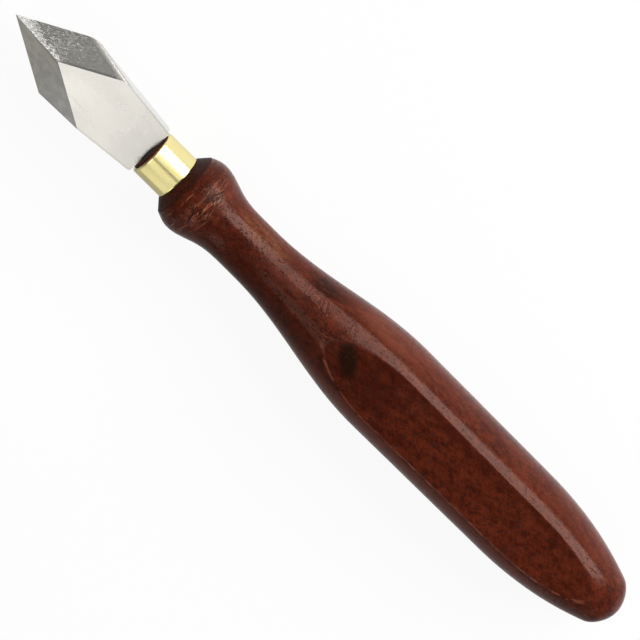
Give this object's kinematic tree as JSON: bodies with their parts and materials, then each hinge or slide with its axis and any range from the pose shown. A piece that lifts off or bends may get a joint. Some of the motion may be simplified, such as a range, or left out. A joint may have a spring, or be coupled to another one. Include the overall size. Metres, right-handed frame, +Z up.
{
  "type": "marking knife",
  "caption": "Spear-point marking knife: a double-bevel steel blade with a flat back, a brass ferrule and a turned hardwood handle with flats that stop it rolling.",
  "frame": {"origin": "on the surface that the knife lies on, under the middle of its length and width", "axes": "+X along the knife from the point to the butt, +Z up out of the bevelled face of the blade, +Y across the blade"},
  "size_m": [0.18, 0.0222, 0.0183],
  "materials": {
    "blade_steel": "satin ground faces, coarser ground bevels",
    "adhesive": "dark set adhesive, dull",
    "ferrule_brass": "polished",
    "handle_wood": "dark red rosewood, oiled to a soft gloss"
  },
  "bodies": {
    "root": {"blade": "blade_steel", "tang_epoxy": "adhesive", "ferrule": "ferrule_brass", "handle": "handle_wood"}
  },
  "joints": []
}
